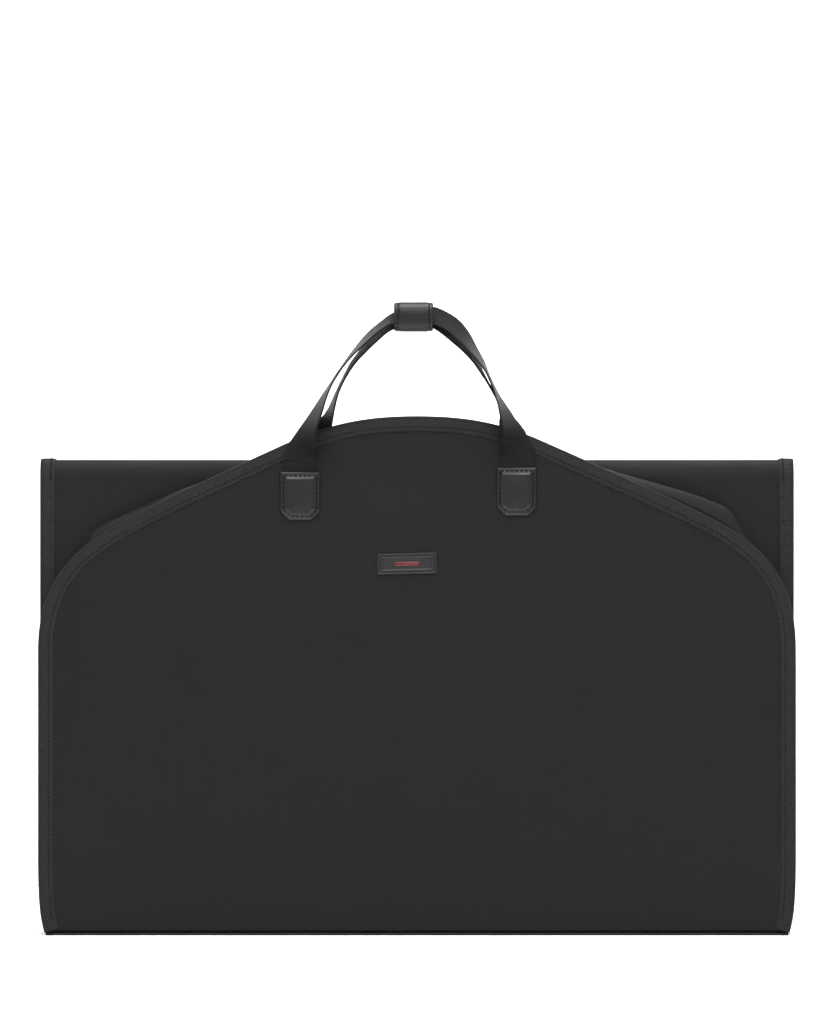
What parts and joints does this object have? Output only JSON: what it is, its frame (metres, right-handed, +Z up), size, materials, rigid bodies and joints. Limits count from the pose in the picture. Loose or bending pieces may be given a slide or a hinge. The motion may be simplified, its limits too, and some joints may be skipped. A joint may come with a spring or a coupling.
{
  "type": "garment bag",
  "caption": "Soft garment bag folded in three with shaped shoulders, bound edges, centre zip and two webbing handles joined by a leather wrap.",
  "frame": {"origin": "bottom centre of the folded bag's bounding box, on the surface that the bag stands on", "axes": "+X across the bag to the right seen from the front, +Y from the front cover to the zipped back, +Z up"},
  "size_m": [0.577, 0.0653, 0.4827],
  "materials": {
    "shell_cloth": "closely woven black nylon, low sheen",
    "lining_cloth": "thin plain woven lining",
    "binding_tape": "folded woven tape, stitched",
    "webbing": "ribbed nylon webbing",
    "leather": "smooth black leather, fine grain",
    "zip_tape": "woven zip tape",
    "zip_coil": "moulded nylon coil",
    "small_metal": "dark satin plated metal",
    "badge_base": "black leather backing",
    "badge_plate": "black satin moulding",
    "badge_mark": "dark red enamel",
    "magnet": "plated bar"
  },
  "bodies": {
    "fold_base": {"bottom_fold": "shell_cloth", "bottom_fold_lining": "lining_cloth", "bottom_binding_left": "binding_tape", "bottom_binding_right": "binding_tape"},
    "front_section": {"front_cover": "shell_cloth", "front_binding": "binding_tape", "front_gusset_left": "shell_cloth", "front_gusset_right": "shell_cloth", "front_zip_face_left": "shell_cloth", "front_zip_face_right": "shell_cloth", "front_zip_tapes": "zip_tape", "front_zip_coil": "zip_coil", "front_patch_left": "leather", "front_patch_right": "leather", "front_strap_end_left": "webbing", "front_strap_end_right": "webbing", "hanger_slot_binding": "binding_tape", "badge_base": "badge_base", "badge_plate": "badge_plate", "badge_mark": "badge_mark", "badge_rivets": "small_metal"},
    "middle_section": {"middle_cover": "shell_cloth", "middle_gusset_left": "shell_cloth", "middle_gusset_right": "shell_cloth", "middle_zip_face_left": "shell_cloth", "middle_zip_face_right": "shell_cloth", "middle_binding_left": "binding_tape", "middle_binding_right": "binding_tape", "middle_zip_tapes": "zip_tape", "middle_zip_coil": "zip_coil", "rear_patch_left": "leather", "rear_patch_right": "leather", "rear_strap_end_left": "webbing", "rear_strap_end_right": "webbing"},
    "top_fold": {"top_fold_left": "shell_cloth", "top_fold_right": "shell_cloth", "top_binding_left": "binding_tape", "top_binding_right": "binding_tape", "top_fold_zip": "zip_tape"},
    "end_section": {"end_cover": "shell_cloth", "end_gusset_left": "shell_cloth", "end_gusset_right": "shell_cloth", "end_zip_face_left": "shell_cloth", "end_zip_face_right": "shell_cloth", "end_binding_left": "binding_tape", "end_binding_right": "binding_tape", "end_hem": "shell_cloth", "end_zip_tapes": "zip_tape", "end_zip_coil": "zip_coil", "zip_bottom_stop": "small_metal"},
    "zip_slider": {"zip_slider": "small_metal"},
    "zip_pull": {"zip_pull": "small_metal"},
    "front_handle": {"front_webbing": "webbing", "wrap_front": "leather", "wrap_magnet_front": "magnet"},
    "wrap_flap": {"wrap_flap": "leather", "wrap_magnet_flap": "magnet"},
    "rear_handle": {"rear_webbing": "webbing"}
  },
  "joints": [
    {"name": "front_fold", "type": "hinge", "parent": "fold_base", "child": "front_section", "pos_m": [0, -0.0085, 0.0018], "axis": [1, 0, 0], "range_deg": [0, 90]},
    {"name": "middle_fold", "type": "hinge", "parent": "fold_base", "child": "middle_section", "pos_m": [0, 0.016, 0.0018], "axis": [-1, 0, 0], "range_deg": [0, 90]},
    {"name": "top_fold_turn", "type": "hinge", "parent": "middle_section", "child": "top_fold", "pos_m": [0, 0.006, 0.3612], "axis": [1, 0, 0], "range_deg": [0, 90]},
    {"name": "end_fold", "type": "hinge", "parent": "top_fold", "child": "end_section", "pos_m": [0, 0.0275, 0.3612], "axis": [1, 0, 0], "range_deg": [0, 90]},
    {"name": "front_handle_swing", "type": "hinge", "parent": "front_section", "child": "front_handle", "pos_m": [0, -0.0119, 0.3615], "axis": [1, 0, 0], "range_deg": [0, 135]},
    {"name": "rear_handle_swing", "type": "hinge", "parent": "middle_section", "child": "rear_handle", "pos_m": [0, 0.0038, 0.3645], "axis": [1, 0, 0], "range_deg": [-75, 0]},
    {"name": "wrap_open", "type": "hinge", "parent": "front_handle", "child": "wrap_flap", "pos_m": [0, -0.00835, 0.4827], "axis": [1, 0, 0], "range_deg": [0, 110], "deforming": ["wrap_flap"]},
    {"name": "zip_slide", "type": "slide", "parent": "end_section", "child": "zip_slider", "axis": [0, 0, 1], "range_m": [0, 0.3]},
    {"name": "pull_swing", "type": "hinge", "parent": "zip_slider", "child": "zip_pull", "pos_m": [0, 0.0313, 0.036], "axis": [1, 0, 0], "range_deg": [0, 150]}
  ],
  "couplings": [
    {"joint": "end_fold", "follows": "top_fold_turn", "ratio": 1}
  ]
}
